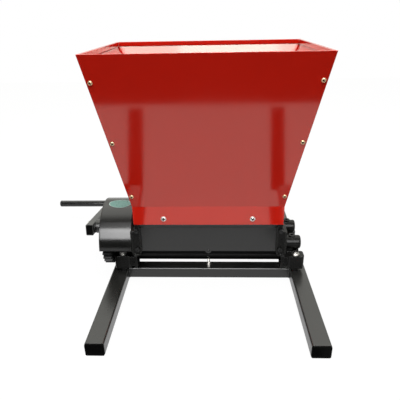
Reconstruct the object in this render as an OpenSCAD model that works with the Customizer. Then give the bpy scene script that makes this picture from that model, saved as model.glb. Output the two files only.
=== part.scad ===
// Hand cranked grape crusher: a sheet-metal hopper over two geared rollers in a
// cast body, standing on an H-shaped base of rectangular tube.
// X runs to the right, Y to the back and Z up. The floor is Z = 0 and the nip
// between the rollers lies over Y = 0.

/* [Base] */
// Length of a leg over its end caps
leg_length = 666; // [560:2:800]
// Width of a leg tube
leg_width = 40; // [34:1:50]
// Height of the legs and of the cross rails
leg_height = 30; // [24:1:40]
// Wall of the legs and rails
tube_wall = 2; // [1.5:0.5:3]
// How far a leg's middle lies outside its foot bolts
leg_offset = 9; // [0:1:12]
// Front-to-back width of a cross rail
rail_width = 34; // [24:1:40]
// Clear opening between the two cross rails
rail_gap = 54; // [46:1:70]
// Outer plate of an end cap
cap_plate = 3; // [2:0.5:5]
// Plug of an end cap inside its tube
cap_plug = 12; // [8:1:20]
// Free height of the centre stud over the front rail
stud_reach = 20; // [14:1:22]

/* [Side frames] */
// Clear width between the two side frames
frame_inner = 358; // [320:2:420]
// Thickness of a frame's web
web_thick = 8; // [6:1:10]
// Top of the web above the roller axles
web_rise = 55; // [45:1:60]
// Outside diameter of a bearing boss
boss_d = 34; // [32:1:40]
// Length of a bearing boss outside the web
boss_length = 43; // [40:1:48]
// Reach of a foot outside the web
foot_reach = 50; // [46:1:54]
// Width of the foot pad along X
foot_width = 40; // [36:1:42]
// Front-to-back depth of a foot pad
foot_depth = 28; // [24:1:34]
// Drop of the foot's top below the bearing boss
foot_drop = 6; // [4:0.5:9]
// Distance of a foot bolt outside its roller axle
foot_shift = 21; // [20:1:26]
// Height of the standoff nuts between leg and foot
standoff_height = 10; // [8:1:14]
// Width of a corner post across the front
post_width = 24; // [22:1:28]
// Thickness of a corner post
post_thick = 8; // [6:1:10]
// Depth of the pocket in a post's outer face
pocket_depth = 3; // [2:0.5:4]
// Lower bolt of a corner post, above the roller axles
post_bolt_rise = 7; // [4:1:12]
// Diameter of an oil cup on top of a bearing boss
oil_cup_d = 16; // [14:1:20]

/* [Rollers and shafts] */
// Height of the roller axles over the floor
axle_height = 98; // [94:1:110]
// Diameter over the roller's ribs
roller_d = 78; // [70:1:84]
// Gap between the two rollers
roller_gap = 6; // [4:0.5:10]
// Number of ribs on a roller
rib_count = 10; // [6:1:12]
// Width of a rib
rib_width = 8; // [6:1:10]
// Height of a rib above the roller's core
rib_height = 6; // [4:0.5:8]
// Gap between a roller's end and the web
roller_end_gap = 3; // [2:0.5:6]
// Gap between the roller's ribs and a body panel
roller_side_gap = 3; // [2:0.5:6]
// Diameter of the two shafts
shaft_d = 20; // [16:1:22]
// Wall of a bearing bush
bush_wall = 3; // [2:0.5:4]
// Diameter of a roller's cross pins
pin_d = 6; // [4:0.5:7]
// Distance between a roller's two cross pins
pin_pitch = 240; // [160:5:280]

/* [Gears] */
// Number of teeth on the crank's gear
drive_teeth = 17; // [16:1:21]
// Number of teeth on the front roller's gear
driven_teeth = 25; // [21:1:27]
// Face width of a gear
gear_width = 20; // [16:1:24]
// Play between meshing teeth
gear_backlash = 0.6; // [0.4:0.1:1]
// Gap between a gear and the feet
gear_foot_gap = 3; // [2:0.5:5]
// Side of the square keys
key_side = 6; // [5:0.5:7]

/* [Gear cover] */
// Sheet of the cover
cover_sheet = 2; // [1.5:0.5:3]
// Gap between the gear teeth and the cover's band
cover_gap = 2; // [1.5:0.5:6]
// Gap between a gear's outer face and the end plate
cover_end_gap = 3; // [3:0.5:8]
// Drop of the band's middle below the roller axles
cover_drop = 5; // [0:1:6]
// Height of the round bulge in front of the front roller's gear
cover_bulge = 5; // [4:0.5:8]
// Radius of that bulge
bulge_r = 38; // [30:1:40]
// Lower edge of the cover above the roller axles
cover_rise = 5; // [2:1:8]
// Width of the lip that is screwed to the web
cover_lip = 14; // [13:1:18]

/* [Crank] */
// Distance from the shaft to the handle
crank_radius = 228; // [180:2:260]
// Stub of the arm in front of the shaft
arm_stub = 34; // [26:1:40]
// Stub of the arm behind the handle
arm_tail = 16; // [14:1:24]
// Width of the arm tube along X
arm_width = 20; // [16:1:24]
// Height of the arm tube
arm_height = 30; // [28:1:36]
// Angle of the arm below level at rest
arm_drop = 9; // [0:1:20]
// Diameter of the crank's hub
hub_d = 38; // [34:1:44]
// Length of the crank's hub
hub_length = 37; // [30:1:44]
// Diameter of the handle spindle
spindle_d = 12; // [10:1:12]
// Diameter of the grip
grip_d = 20; // [18:1:28]
// Length of the grip sleeve
grip_length = 156; // [110:2:180]

/* [Body panels] */
// Sheet of the body panels
panel_sheet = 2; // [1.5:0.5:3]
// Lower edge of the panels below the roller axles
panel_drop = 1; // [0:1:5]
// Diameter of the round tab on a panel's lower edge
tab_d = 14; // [12:1:18]

/* [Hopper] */
// Sheet of the hopper
hopper_sheet = 1.2; // [1:0.1:2]
// Width of the rim along X
rim_x = 471; // [400:1:520]
// Depth of the rim along Y
rim_y = 349; // [280:1:400]
// Height of the sloping part
slope_height = 342; // [260:2:400]
// Height of the upright skirt
skirt_height = 47; // [42:1:56]
// Lower edge of the front skirt above the roller axles
skirt_rise = 76; // [74:1:82]
// Gap between the hopper's side skirts and the webs
skirt_side_gap = 3; // [2:0.5:5]
// Width of the rim's turned-in ledge
hem_ledge = 6; // [5:0.5:8]
// Height of the rim's turned-down lip
hem_lip = 10; // [8:0.5:14]
// Width of the corner flanges of the side panels
corner_flange = 16; // [15:1:22]
// Distance of the corner screws from the edge
corner_screw_inset = 8; // [7.5:0.5:9]
// Distance between the two bolts of a skirt
skirt_bolt_pitch = 208; // [140:2:260]

/* [Fasteners] */
// Foot bolts
foot_bolt_d = 8; // [6:1:8]
// Skirt bolts, post bolts and centre stud
small_bolt_d = 6; // [5:0.5:6]
// Corner screws and cover screws
corner_screw_d = 5; // [4:0.5:5]

/* [Clearances] */
// Radial clearance of a bolt in its hole
bolt_gap = 0.2; // [0.1:0.1:0.5]
// Radial clearance of pieces pressed or screwed together
seat_gap = 0.02; // [0.01:0.01:0.05]
// Radial clearance of a turning shaft
running_gap = 0.05; // [0.02:0.01:0.1]
// End clearance of turning pieces
end_gap = 0.3; // [0.2:0.1:0.6]

/* [Hidden] */
$fn = 48;

// How far a cutting shape runs past the face that it cuts
cut = 1;

// Heads, nuts and washers follow their thread
function head_width(d) = 1.625 * d;
function head_height(d) = 0.65 * d;
function nut_height(d) = 0.8 * d;
function hex_radius(width) = width / 2 / cos(30);
thread_end = 1;

// Side frames, from the inside out
web_inner = frame_inner / 2;
web_outer = web_inner + web_thick;
boss_end = web_outer + boss_length;
foot_end = web_outer + foot_reach;
foot_x = foot_end - foot_width / 2;
foot_bottom = leg_height + standoff_height;
foot_top = axle_height - boss_d / 2 - foot_drop;
foot_height = foot_top - foot_bottom;
arch_top = foot_bottom + foot_height / 2;
leg_x = foot_x + leg_offset;
rail_length = 2 * leg_x - leg_width;
rail_y = (rail_gap + rail_width) / 2;
tube_corner = 2 * tube_wall;
plug_gap = 0.2;
casting_edge = 4;
boss_round = 4;
foot_corner_r = 6;
washer_height = 1.6;
oil_cup_x = web_outer + boss_length / 2;
oil_cup_rise = 3;
bearing_cap = 4;
bush_end = boss_end - bearing_cap;

// Rollers, shafts and the body around them
axle_spacing = roller_d + roller_gap;
axle_y = axle_spacing / 2;
roller_end = web_inner - roller_end_gap;
core_r = roller_d / 2 - rib_height;
bush_r = shaft_d / 2 + bush_wall;
foot_y = axle_y + foot_shift;
panel_y = axle_y + roller_d / 2 + roller_side_gap;
post_inner = panel_y + panel_sheet;
post_outer = post_inner + post_thick;
post_x = web_outer - post_width / 2;
post_bolt_x = web_inner - 0.3 * post_width;
post_seat = post_outer - pocket_depth;
seat_thick = post_thick - pocket_depth;
pocket_r = post_width / 2 - pocket_depth;
web_top = axle_height + web_rise;
shaft_fit_r = shaft_d / 2 + seat_gap;
shaft_right_end = bush_end - end_gap;
spacer_wall = 4;
spacer_r = shaft_d / 2 + spacer_wall;
roller_hub_r = shaft_d / 2 + 1.25 * spacer_wall;

// Gears on the left, counted outwards from the feet
gear_inner = foot_end + gear_foot_gap;
gear_outer = gear_inner + gear_width;
tooth_module = 2 * axle_spacing / (drive_teeth + driven_teeth);
pressure_angle = 20;
flank_steps = 5;
mesh_turn = drive_teeth % 2 == 0 ? 180 / drive_teeth : 0;
key_depth = 0.58 * key_side;
ring_thick = 1.5;
ring_groove = 1;
ring_wall = 4;
driven_end = gear_outer + 1.7 * ring_thick;

// Gear cover
cover_z = axle_height - cover_drop;
cover_r = norm([axle_y, cover_drop]) + tip_r(driven_teeth) + cover_gap + cover_sheet;
plate_inner = gear_outer + cover_end_gap;
plate_outer = plate_inner + cover_sheet;
cover_bottom = axle_height + cover_rise;
bulge_outer = plate_outer + cover_bulge;
cover_screw_angles = [25, 155];
cover_screw_r = cover_r - cover_sheet - 1.1 * corner_screw_d;

// Crank, outwards from the cover
hub_cover_gap = 2;
hub_inner = bulge_outer + hub_cover_gap;
arm_inner = hub_inner + hub_length;
arm_outer = arm_inner + arm_width;
arm_wall = 2;
arm_corner = 1.5 * arm_wall;
arm_middle = arm_outer - arm_width / 2;
washer_thick = 2;
crank_screw_d = 8;
crank_screw_depth = 24;
set_screw_d = 8;
set_screw_x = hub_inner + hub_length / 2;
grip_start = arm_outer + end_gap;
grip_end = grip_start + grip_length;
button_start = grip_end + end_gap;
button_length = 6;
handle_end = button_start + button_length;

// Hopper
skirt_bottom = axle_height + skirt_rise;
fold_z = skirt_bottom + skirt_height;
rim_z = fold_z + slope_height;
throat_x = 2 * (web_inner - skirt_side_gap);
throat_y = 2 * (post_outer + hopper_sheet);
lean_x = atan((rim_x - throat_x) / 2 / slope_height);
lean_y = atan((rim_y - throat_y) / 2 / slope_height);
slant_front = slope_height / cos(lean_y);
slant_side = slope_height / cos(lean_x);
side_skirt_drop = 5;
side_skirt_bottom = web_top - side_skirt_drop;
skirt_bolt_z = skirt_bottom + skirt_height / 3;

// Posts and panels end inside the skirt; a panel steps out just below it
joggle_height = 10;
joggle_gap = 4;
joggle_z = skirt_bottom - joggle_height - joggle_gap;
post_top = fold_z - 0.2 * skirt_height;
panel_top = fold_z - 0.3 * skirt_height;
post_bolt_low = axle_height + post_bolt_rise;
lug_z = post_bolt_low - post_width / 4;
panel_bottom = axle_height - panel_drop;
post_bolt_levels = [post_bolt_low, joggle_z - 0.8 * small_bolt_d];
pocket_top = skirt_bottom - pocket_depth;
rivet_d = 0.3 * tab_d;
corner_screw_levels = [0.083, 0.476, 0.848];
edge_slope = (rim_x - throat_x) / 2 / slant_front;

// The origin lies under the middle of the whole machine, crank included
machine_x = (handle_end - leg_x - leg_width / 2) / 2;

module in_frame() {
    translate([machine_x, 0, 0]) children();
}

module along_x() {
    rotate([90, 0, 90]) children();
}

module both_sides() {
    children();
    mirror([1, 0, 0]) children();
}

module both_ends() {
    children();
    mirror([0, 1, 0]) children();
}

module four_corners() {
    both_sides() both_ends() children();
}

// Rod along X between two places, with chamfered ends
module rod_x(r, from, to, chamfer = 1) {
    translate([from, 0, 0]) along_x() rotate_extrude() polygon([
        [0, 0],
        [r - chamfer, 0],
        [r, chamfer],
        [r, to - from - chamfer],
        [r - chamfer, to - from],
        [0, to - from]
    ]);
}

module ring_x(outer_r, inner_r, from, to) {
    translate([from, 0, 0]) along_x() difference() {
        cylinder(r = outer_r, h = to - from);
        translate([0, 0, -cut]) cylinder(r = inner_r, h = to - from + 2 * cut);
    }
}

module bore_x(r, from, to) {
    translate([from, 0, 0]) along_x() cylinder(r = r, h = to - from);
}

// Head above Z = 0 and shank below it
module hex_bolt(d, length) {
    cylinder(r = hex_radius(head_width(d)), h = head_height(d), $fn = 6);
    translate([0, 0, -length]) cylinder(d = d, h = length + head_height(d) / 2);
}

module button_screw(d, length) {
    head_r = 0.95 * d;
    rotate_extrude() polygon([
        [0, -length],
        [d / 2, -length],
        [d / 2, 0],
        [head_r, 0],
        [head_r, 0.2 * d],
        [0.6 * head_r, 0.5 * d],
        [0, 0.55 * d]
    ]);
}

module hex_nut(d) {
    difference() {
        cylinder(r = hex_radius(head_width(d)), h = nut_height(d), $fn = 6);
        translate([0, 0, -cut]) cylinder(r = d / 2 + seat_gap, h = nut_height(d) + 2 * cut);
    }
}

module washer(d, thick) {
    difference() {
        cylinder(d = 2.5 * d, h = thick);
        translate([0, 0, -cut]) cylinder(r = d / 2 + bolt_gap, h = thick + 2 * cut);
    }
}

// Block standing on Z = 0, centred in X and Y, with round upright edges
module round_block(x, y, z, r) {
    translate([-x / 2 + r, -y / 2, 0]) cube([x - 2 * r, y, z]);
    translate([-x / 2, -y / 2 + r, 0]) cube([x, y - 2 * r, z]);
    for (i = [-1, 1], j = [-1, 1])
        translate([i * (x / 2 - r), j * (y / 2 - r), 0]) cylinder(r = r, h = z);
}

// Bar along Y on Z = 0, centred in X and Y, with round long edges
module round_bar(x, z, length, r) {
    translate([0, length / 2, z / 2]) rotate([90, 0, 0]) round_block(x, z, length, r);
}

module round_tube(x, z, length, wall, r) {
    difference() {
        round_bar(x, z, length, r);
        translate([0, 0, wall])
            round_bar(x - 2 * wall, z - 2 * wall, length + 2 * cut, r - wall);
    }
}

// Legs, rails and their caps

module leg_tube() {
    difference() {
        translate([leg_x, 0, 0])
            round_tube(leg_width, leg_height, leg_length - 2 * cap_plate, tube_wall, tube_corner);
        both_ends() translate([foot_x, foot_y, leg_height - tube_wall - cut])
            cylinder(r = foot_bolt_d / 2 + bolt_gap, h = tube_wall + 2 * cut);
    }
}

module right_leg() {
    color("#1c1c1d") in_frame() leg_tube();
}

module left_leg() {
    color("#1c1c1d") in_frame() mirror([1, 0, 0]) leg_tube();
}

module rail_tube() {
    translate([0, rail_y, 0]) rotate([0, 0, 90])
        round_tube(rail_width, leg_height, rail_length, tube_wall, tube_corner);
}

module front_cross_rail() {
    color("#1c1c1d") in_frame() difference() {
        mirror([0, 1, 0]) rail_tube();
        translate([0, -rail_y, leg_height - tube_wall - cut])
            cylinder(r = small_bolt_d / 2 + bolt_gap, h = tube_wall + 2 * cut);
    }
}

module rear_cross_rail() {
    color("#1c1c1d") in_frame() rail_tube();
}

module leg_end_caps() {
    plate_inset = 0.5;
    plug_inset = tube_wall + plug_gap;
    color("#0d0d0e") in_frame() four_corners() translate([leg_x, leg_length / 2, 0]) {
        translate([0, -cap_plate / 2, plate_inset]) round_bar(
            leg_width - 2 * plate_inset, leg_height - 2 * plate_inset, cap_plate, tube_corner - plate_inset
        );
        translate([0, -(cap_plug + cap_plate) / 2, plug_inset]) round_bar(
            leg_width - 2 * plug_inset, leg_height - 2 * plug_inset, cap_plug + cap_plate, tube_wall
        );
    }
}

module centre_stud() {
    stud_bottom = leg_height - tube_wall - nut_height(small_bolt_d) - thread_end;
    stud_length = leg_height + stud_reach - stud_bottom;
    color("#c9c7c0") in_frame() translate([0, -rail_y, stud_bottom])
        cylinder(d = small_bolt_d, h = stud_length);
}

module centre_stud_nuts() {
    inside_rail = leg_height - tube_wall - nut_height(small_bolt_d);
    color("#c9c7c0") in_frame() for (z = [inside_rail, leg_height])
        translate([0, -rail_y, z]) hex_nut(small_bolt_d);
}

// Cast side frames with bearing bosses, feet and corner posts

module web_outline() {
    foot_inner = foot_y - foot_depth / 2;
    foot_outer = foot_y + foot_depth / 2;
    arch_slant = 6;
    polygon([
        [foot_inner, foot_bottom],
        [foot_outer, foot_bottom],
        [foot_outer, foot_top],
        [post_outer, post_bolt_low],
        [post_outer, web_top],
        [-post_outer, web_top],
        [-post_outer, post_bolt_low],
        [-foot_outer, foot_top],
        [-foot_outer, foot_bottom],
        [-foot_inner, foot_bottom],
        [-foot_inner + arch_slant, arch_top],
        [foot_inner - arch_slant, arch_top]
    ]);
}

// Boss along X, flared where it leaves the web and rounded at its outer end
module boss_body() {
    r = boss_d / 2;
    span = web_thick + boss_length;
    translate([web_inner, 0, 0]) along_x() rotate_extrude() union() {
        square([r - boss_round, span]);
        square([r, span - boss_round]);
        translate([r - boss_round, span - boss_round]) intersection() {
            circle(r = boss_round);
            square(boss_round);
        }
        polygon([
            [0, 0],
            [r + boss_round, 0],
            [r + boss_round, web_thick],
            [r, web_thick + 1.5 * boss_round],
            [0, web_thick + 1.5 * boss_round]
        ]);
    }
}

module bearing_boss() {
    translate([0, axle_y, axle_height]) {
        boss_body();
        translate([oil_cup_x, 0, 0]) cylinder(d = oil_cup_d, h = boss_d / 2 + oil_cup_rise);
    }
    // Pedestal that carries the boss on its foot, behind the bolt's washer
    pedestal_front = foot_y - 1.4 * foot_bolt_d;
    pedestal_back = axle_y - boss_d / 4;
    pedestal_end = boss_end - boss_round;
    translate([web_inner, 0, 0]) along_x() linear_extrude(pedestal_end - web_inner) polygon([
        [pedestal_back, axle_height],
        [pedestal_back, arch_top],
        [foot_y, arch_top],
        [foot_y, foot_top - casting_edge],
        [pedestal_front, foot_top - casting_edge],
        [pedestal_front, axle_height]
    ]);
}

module bearing_bore() {
    translate([0, axle_y, axle_height]) {
        bore_x(bush_r + seat_gap, web_inner - cut, boss_end + cut);
        translate([oil_cup_x, 0, 0]) cylinder(d = oil_cup_d / 2, h = boss_d);
    }
}

module foot_pad() {
    translate([foot_x, foot_y, foot_bottom])
        round_block(foot_width, foot_depth, foot_height, foot_corner_r);
    // Neck between the pad and the web
    neck_depth = foot_depth - 2 * casting_edge;
    translate([web_inner, foot_y - neck_depth / 2, foot_bottom + casting_edge])
        cube([foot_x - web_inner, neck_depth, foot_height - 2 * casting_edge]);
}

module corner_post() {
    lug_r = post_width / 2;
    post_edge = post_x - lug_r;
    translate([post_edge, post_inner, lug_z]) cube([post_width, post_thick, web_top - lug_z]);
    translate([post_x, post_inner, lug_z]) rotate([-90, 0, 0])
        cylinder(r = lug_r, h = post_thick);
    // Upper part, no wider than the skirt in front of it
    translate([post_edge, post_inner, lug_z])
        cube([throat_x / 2 - post_edge, post_thick, post_top - lug_z]);
}

// Pocket in a post's outer face, which sinks the heads of its bolts
module post_pocket() {
    translate([post_x, post_seat, lug_z]) {
        rotate([-90, 0, 0]) cylinder(r = pocket_r, h = pocket_depth + cut);
        translate([-pocket_r, 0, 0]) cube([2 * pocket_r, pocket_depth + cut, pocket_top - lug_z]);
    }
}

module post_bolt_places() {
    for (z = post_bolt_levels)
        translate([post_bolt_x, post_seat, z]) rotate([-90, 0, 0]) children();
}

module cover_screw_places() {
    for (a = cover_screw_angles)
        translate([web_outer, cover_screw_r * cos(a), cover_z + cover_screw_r * sin(a)]) children();
}

module side_frame() {
    difference() {
        union() {
            translate([web_inner, 0, 0]) along_x() linear_extrude(web_thick) web_outline();
            both_ends() {
                bearing_boss();
                foot_pad();
                corner_post();
            }
        }
        both_ends() {
            bearing_bore();
            translate([foot_x, foot_y, foot_bottom - cut])
                cylinder(r = foot_bolt_d / 2 + bolt_gap, h = foot_height + 2 * cut);
            post_pocket();
            post_bolt_places() translate([0, 0, -seat_thick - cut])
                cylinder(r = small_bolt_d / 2 + bolt_gap, h = seat_thick + 2 * cut);
        }
    }
}

module right_side_frame() {
    color("#232324") in_frame() side_frame();
}

module left_side_frame() {
    color("#232324") in_frame() mirror([1, 0, 0]) difference() {
        side_frame();
        cover_screw_places() bore_x(corner_screw_d / 2 + seat_gap, -web_thick - cut, cut);
    }
}

// Foot bolts and what they clamp

module at_feet(z) {
    four_corners() translate([foot_x, foot_y, z]) children();
}

module foot_bolts() {
    clamped = washer_height + foot_height + standoff_height + tube_wall;
    color("#c9c7c0") in_frame() at_feet(foot_top + washer_height)
        hex_bolt(foot_bolt_d, clamped + nut_height(foot_bolt_d) + thread_end);
}

module foot_washers() {
    color("#c9c7c0") in_frame() at_feet(foot_top) washer(foot_bolt_d, washer_height);
}

module foot_standoffs() {
    color("#232324") in_frame() at_feet(leg_height) difference() {
        cylinder(r = hex_radius(2.1 * foot_bolt_d), h = standoff_height, $fn = 6);
        translate([0, 0, -cut])
            cylinder(r = foot_bolt_d / 2 + bolt_gap, h = standoff_height + 2 * cut);
    }
}

module foot_nuts() {
    inside_leg = leg_height - tube_wall - nut_height(foot_bolt_d);
    color("#c9c7c0") in_frame() at_feet(inside_leg) rotate(30) hex_nut(foot_bolt_d);
}

// Bearings

module bearing_bushes() {
    color("#a9793a") in_frame() four_corners() translate([0, axle_y, axle_height])
        ring_x(bush_r, shaft_d / 2 + running_gap, web_inner, bush_end);
}

module bearing_caps() {
    color("#151516") in_frame() both_ends() translate([0, axle_y, axle_height])
        rod_x(bush_r, bush_end, boss_end, 0.5);
}

// Body panels, with a joggled upper strip that meets the hopper's skirt

module tab_place() {
    translate([0, post_inner, panel_bottom]) rotate([-90, 0, 0]) children();
}

module body_panel() {
    overlap = panel_sheet / 2;
    wide = 2 * (web_inner - plug_gap);
    narrow = 2 * (post_x - post_width / 2 - panel_sheet);
    difference() {
        union() {
            translate([-wide / 2, panel_y, panel_bottom])
                cube([wide, panel_sheet, joggle_z - panel_bottom]);
            tab_place() translate([0, 0, -panel_sheet]) cylinder(d = tab_d, h = panel_sheet);
            translate([-narrow / 2, 0, 0]) along_x() linear_extrude(narrow) polygon([
                [panel_y, joggle_z - overlap],
                [post_inner, joggle_z - overlap],
                [post_inner, joggle_z],
                [post_outer, joggle_z + joggle_height],
                [post_outer, panel_top],
                [post_outer - panel_sheet, panel_top],
                [post_outer - panel_sheet, joggle_z + joggle_height],
                [panel_y, joggle_z]
            ]);
        }
        both_sides() post_bolt_places() translate([0, 0, -seat_thick - panel_sheet - cut])
            cylinder(r = small_bolt_d / 2 + bolt_gap, h = panel_sheet + 2 * cut);
        skirt_bolt_places() translate([0, 0, -post_thick])
            cylinder(r = small_bolt_d / 2 + bolt_gap, h = 2 * post_thick);
        tab_place() translate([0, 0, -panel_sheet - cut])
            cylinder(r = rivet_d / 2 + seat_gap, h = panel_sheet + 2 * cut);
    }
}

module rear_panel() {
    color("#28292a") in_frame() body_panel();
}

module front_panel() {
    color("#28292a") in_frame() mirror([0, 1, 0]) body_panel();
}

module panel_rivets() {
    color("#1a1a1b") in_frame() both_ends() tab_place() button_screw(rivet_d, panel_sheet);
}

module post_bolts() {
    color("#1a1a1b") in_frame() four_corners() post_bolt_places() difference() {
        union() {
            cylinder(d = 1.7 * small_bolt_d, h = 0.9 * small_bolt_d);
            translate([0, 0, -seat_thick - panel_sheet])
                cylinder(d = small_bolt_d, h = seat_thick + panel_sheet + cut);
        }
        translate([0, 0, 0.5 * small_bolt_d])
            cylinder(r = hex_radius(0.8 * small_bolt_d), h = small_bolt_d, $fn = 6);
    }
}

// Hopper. The rear and right panels are drawn, and mirrored for the other two.

// Plane of the rear panel: X along it, Z up its slope, Y outwards
module rear_slope() {
    translate([0, throat_y / 2, fold_z]) rotate([-lean_y, 0, 0]) children();
}

// Plane of the right panel: Y along it, Z up its slope, X outwards
module right_slope() {
    translate([throat_x / 2, 0, fold_z]) rotate([0, lean_x, 0]) children();
}

module skirt_bolt_places() {
    for (i = [-1, 1])
        translate([i * skirt_bolt_pitch / 2, throat_y / 2, skirt_bolt_z])
            rotate([-90, 0, 0]) children();
}

// Corner screws on the rear slope, with Z outwards through the sheet
module corner_screw_places() {
    for (i = [-1, 1], share = corner_screw_levels) {
        level = share * slant_front;
        translate([i * (throat_x / 2 + edge_slope * level - corner_screw_inset), 0, level])
            rotate([-90, 0, 0]) children();
    }
}

module screw_hole() {
    translate([0, 0, -3 * hopper_sheet])
        cylinder(r = corner_screw_d / 2 + bolt_gap, h = 4 * hopper_sheet);
}

module end_panel() {
    hem_width = rim_x - 2 * (hem_ledge + hopper_sheet);
    reach = 2 * rim_x;
    difference() {
        union() {
            rear_slope() translate([-reach / 2, -hopper_sheet, 0])
                cube([reach, hopper_sheet, slant_front]);
            translate([-hem_width / 2, rim_y / 2 - hem_ledge, rim_z - hopper_sheet])
                cube([hem_width, hem_ledge - hopper_sheet / 2, hopper_sheet]);
            translate([-hem_width / 2, rim_y / 2 - hem_ledge, rim_z - hem_lip])
                cube([hem_width, hopper_sheet, hem_lip]);
            translate([-throat_x / 2, throat_y / 2 - hopper_sheet, skirt_bottom])
                cube([throat_x, hopper_sheet, skirt_height + hopper_sheet / 2]);
        }
        both_sides() right_slope() translate([0, -reach, -hopper_sheet])
            cube([reach, 2 * reach, 2 * slant_side]);
        rear_slope() corner_screw_places() screw_hole();
        skirt_bolt_places() translate([0, 0, -2 * hopper_sheet])
            cylinder(r = small_bolt_d / 2 + bolt_gap, h = 4 * hopper_sheet);
    }
}

module side_panel() {
    hem_depth = rim_y - 2 * (hem_ledge + hopper_sheet);
    skirt_depth = 2 * panel_y - hopper_sheet;
    reach = 2 * rim_y;
    flange_bottom = 2;
    flange_top = slant_front - 1.6 * hem_lip;
    difference() {
        union() {
            right_slope() translate([-hopper_sheet, -reach / 2, 0])
                cube([hopper_sheet, reach, slant_side]);
            translate([rim_x / 2 - hem_ledge, -hem_depth / 2, rim_z - hopper_sheet])
                cube([hem_ledge - hopper_sheet / 2, hem_depth, hopper_sheet]);
            translate([rim_x / 2 - hem_ledge, -hem_depth / 2, rim_z - hem_lip])
                cube([hopper_sheet, hem_depth, hem_lip]);
            translate([throat_x / 2 - hopper_sheet, -skirt_depth / 2, side_skirt_bottom])
                cube([hopper_sheet, skirt_depth, fold_z - side_skirt_bottom + hopper_sheet / 2]);
            both_ends() rear_slope() translate([0, -hopper_sheet, 0]) rotate([90, 0, 0])
                linear_extrude(hopper_sheet) polygon([
                    [throat_x / 2 - corner_flange, flange_bottom],
                    [throat_x / 2 - hopper_sheet / 2, flange_bottom],
                    [throat_x / 2 + edge_slope * flange_top - hopper_sheet / 2, flange_top],
                    [throat_x / 2 + edge_slope * flange_top - corner_flange, flange_top]
                ]);
        }
        both_ends() rear_slope() translate([-reach, -hopper_sheet, -hopper_sheet])
            cube([2 * reach, reach, 2 * slant_front]);
        both_ends() rear_slope() corner_screw_places() screw_hole();
    }
}

module hopper_rear() {
    color("#c3170f") in_frame() end_panel();
}

module hopper_front() {
    color("#c3170f") in_frame() mirror([0, 1, 0]) end_panel();
}

module hopper_right() {
    color("#c3170f") in_frame() side_panel();
}

module hopper_left() {
    color("#c3170f") in_frame() mirror([1, 0, 0]) side_panel();
}

module corner_screws() {
    color("#c8b98c") in_frame() both_ends() rear_slope() corner_screw_places()
        button_screw(corner_screw_d, 2 * hopper_sheet + nut_height(corner_screw_d) + thread_end);
}

module corner_nuts() {
    color("#c8b98c") in_frame() both_ends() rear_slope() corner_screw_places()
        translate([0, 0, -2 * hopper_sheet - nut_height(corner_screw_d)]) hex_nut(corner_screw_d);
}

module skirt_bolts() {
    clamped = hopper_sheet + panel_sheet;
    color("#d2d0ca") in_frame() both_ends() skirt_bolt_places() {
        cylinder(d = 2.15 * small_bolt_d, h = 0.2 * small_bolt_d);
        hex_bolt(small_bolt_d, clamped + nut_height(small_bolt_d) + thread_end);
    }
}

module skirt_nuts() {
    clamped = hopper_sheet + panel_sheet;
    color("#d2d0ca") in_frame() both_ends() skirt_bolt_places()
        translate([0, 0, -clamped - nut_height(small_bolt_d)]) hex_nut(small_bolt_d);
}

// Gear cover: a half drum of sheet, closed on its outer end

module above_cover_edge() {
    intersection() {
        children();
        translate([0, -cover_r - cut, cover_bottom])
            cube([bulge_outer + cut, 2 * (cover_r + cut), cover_r + cut]);
    }
}

module gear_cover_band() {
    color("#3a3b3a") in_frame() mirror([1, 0, 0]) difference() {
        above_cover_edge() translate([0, 0, cover_z]) {
            ring_x(cover_r, cover_r - cover_sheet, web_outer, plate_inner);
            ring_x(cover_r - cover_sheet / 2, cover_r - cover_lip, web_outer, web_outer + cover_sheet);
        }
        cover_screw_places() bore_x(corner_screw_d / 2 + bolt_gap, -cut, cover_sheet + cut);
    }
}

module gear_cover_plate() {
    color("#1f2020") in_frame() mirror([1, 0, 0]) difference() {
        above_cover_edge() union() {
            translate([0, 0, cover_z]) bore_x(cover_r, plate_inner, plate_outer);
            translate([0, -axle_y, axle_height]) rod_x(bulge_r, plate_inner, bulge_outer, cover_sheet);
        }
        translate([0, -axle_y, axle_height])
            bore_x(bulge_r - cover_sheet, plate_inner - cut, bulge_outer - cover_sheet);
        translate([0, axle_y, axle_height])
            bore_x(spacer_r + hub_cover_gap, plate_inner - cut, plate_outer + cut);
    }
}

module cover_screws() {
    color("#1a1a1b") in_frame() mirror([1, 0, 0]) cover_screw_places() translate([cover_sheet, 0, 0])
        along_x() button_screw(corner_screw_d, cover_sheet + web_thick - thread_end);
}

// Shafts, rollers and gears

module pin_places() {
    for (i = [-1, 1]) translate([i * pin_pitch / 2, 0, 0]) children();
}

module keyway(from, to) {
    translate([from, -key_side / 2 - seat_gap, shaft_d / 2 - key_depth])
        cube([to - from, key_side + 2 * seat_gap, key_side + seat_gap]);
}

module shaft(left_end) {
    difference() {
        rod_x(shaft_d / 2, -left_end, shaft_right_end);
        pin_places() cylinder(r = pin_d / 2 + seat_gap, h = shaft_d + 2 * cut, center = true);
        keyway(-gear_outer, -gear_inner);
    }
}

module fluted_roller() {
    tip_r = rib_width / 2;
    hub_end = web_inner - end_gap;
    difference() {
        union() {
            bore_x(core_r, -roller_end, roller_end);
            bore_x(roller_hub_r, -hub_end, hub_end);
            for (i = [0 : rib_count - 1]) rotate([i * 360 / rib_count, 0, 0]) {
                translate([-roller_end, core_r - tip_r, -tip_r])
                    cube([2 * roller_end, roller_d / 2 - core_r, rib_width]);
                translate([0, roller_d / 2 - tip_r, 0]) bore_x(tip_r, -roller_end, roller_end);
            }
        }
        bore_x(shaft_fit_r, -web_inner, web_inner);
        pin_places() cylinder(r = pin_d / 2 + seat_gap, h = roller_d + 2 * cut, center = true);
    }
}

module roller_pins() {
    pin_sunk = 1;
    pin_places() cylinder(d = pin_d, h = 2 * (core_r - pin_sunk), center = true);
}

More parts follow.
